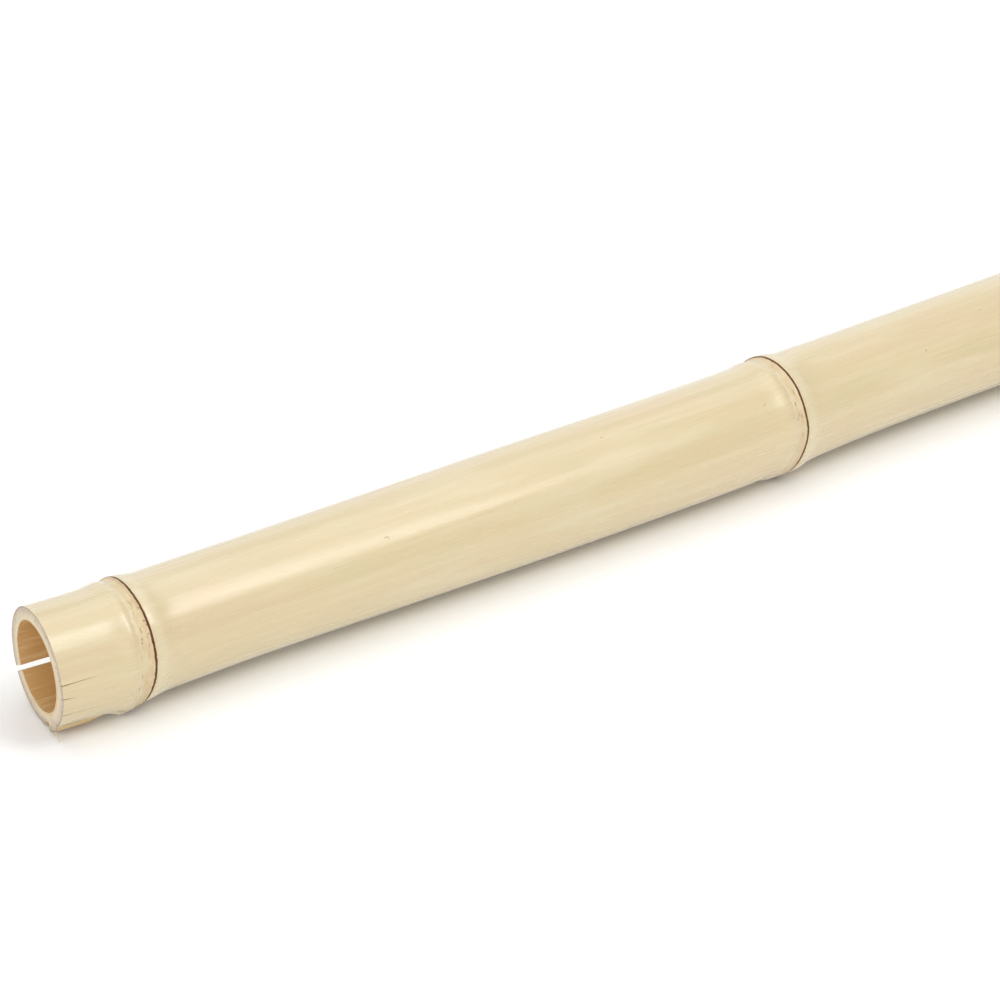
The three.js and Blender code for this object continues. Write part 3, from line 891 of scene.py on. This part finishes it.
class BuildTornFibres(bpy.types.Operator):
    """Build the few loose fibres that the saw tore out of the near rim"""
    bl_idname = "cane.build_torn_fibres"
    bl_label = "Torn fibres"

    def execute(self, context):
        sizes = context.scene.cane_sizes
        bm = bmesh.new()
        for fibre in SPLINTERS:
            splinter(sizes, bm, **fibre)
        piece = as_object("torn_fibres", bm, raw_fibre_material(context.scene.cane_colours))
        mark_growth(sizes, piece)
        finish_surface(piece, sharp_angle=60)
        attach(piece, BODY)
        return {"FINISHED"}


class BuildStudio(bpy.types.Operator):
    """Build the pale floor, the soft light and the camera"""
    bl_idname = "cane.build_studio"
    bl_label = "Studio"

    def execute(self, context):
        scene = context.scene
        settings = scene.cane_studio
        scene.view_settings.view_transform = "Standard"
        bm = bmesh.new()
        bmesh.ops.create_grid(bm, x_segments=1, y_segments=1, size=FLOOR_SIZE)
        as_object("floor", bm, floor_material(settings))
        world = bpy.data.worlds.new("white_room")
        scene.world = world
        world.use_nodes = True
        background = world.node_tree.nodes["Background"]
        background.inputs["Color"].default_value = (1, 1, 1, 1)
        background.inputs["Strength"].default_value = settings.room
        for lamp in LAMPS:
            light = bpy.data.lights.new(lamp["name"], "AREA")
            light.shape = "RECTANGLE"
            light.size, light.size_y = lamp["size"]
            light.energy = getattr(settings, lamp["name"])
            stand = bpy.data.objects.new(lamp["name"], light)
            stand.location = lamp["at"]
            aim = Vector(lamp["target"]) - Vector(lamp["at"])
            stand.rotation_euler = aim.to_track_quat("-Z", "Y").to_euler()
            scene.collection.objects.link(stand)
        camera = bpy.data.cameras.new("camera")
        camera.sensor_width = 36
        camera.lens = CAMERA["lens"]
        tripod = bpy.data.objects.new("camera", camera)
        turn, tilt = math.radians(CAMERA["turn"]), math.radians(CAMERA["tilt"])
        level = math.cos(tilt)
        forward = Vector((level * math.cos(turn), level * math.sin(turn), -math.sin(tilt)))
        tripod.location = CAMERA["at"]
        tripod.rotation_euler = forward.to_track_quat("-Z", "Y").to_euler()
        scene.collection.objects.link(tripod)
        scene.camera = tripod
        return {"FINISHED"}


class CanePanel(bpy.types.Panel):
    """Sizes, colours and build steps of the bamboo cane"""
    bl_idname = "VIEW3D_PT_bamboo_cane"
    bl_label = "Bamboo Cane"
    bl_space_type = "VIEW_3D"
    bl_region_type = "UI"
    bl_category = "Bamboo Cane"

    def draw(self, context):
        for group in (context.scene.cane_sizes, context.scene.cane_colours, context.scene.cane_studio):
            box = self.layout.box()
            for name in group.bl_rna.properties.keys():
                if name not in ("rna_type", "name"):
                    box.prop(group, name)
        for operator in (BuildCulm, BuildTornFibres, BuildStudio):
            self.layout.operator(operator.bl_idname)


CLASSES = (CaneSizes, CaneColours, StudioSettings, BuildCulm, BuildTornFibres, BuildStudio, CanePanel)


def register():
    for cls in CLASSES:
        bpy.utils.register_class(cls)
    bpy.types.Scene.cane_sizes = PointerProperty(type=CaneSizes)
    bpy.types.Scene.cane_colours = PointerProperty(type=CaneColours)
    bpy.types.Scene.cane_studio = PointerProperty(type=StudioSettings)


def unregister():
    del bpy.types.Scene.cane_sizes, bpy.types.Scene.cane_colours, bpy.types.Scene.cane_studio
    for cls in reversed(CLASSES):
        bpy.utils.unregister_class(cls)


def main():
    register()
    bpy.ops.cane.build_studio()
    bpy.ops.cane.build_culm()
    bpy.ops.cane.build_torn_fibres()


if __name__ == "__main__":
    main()
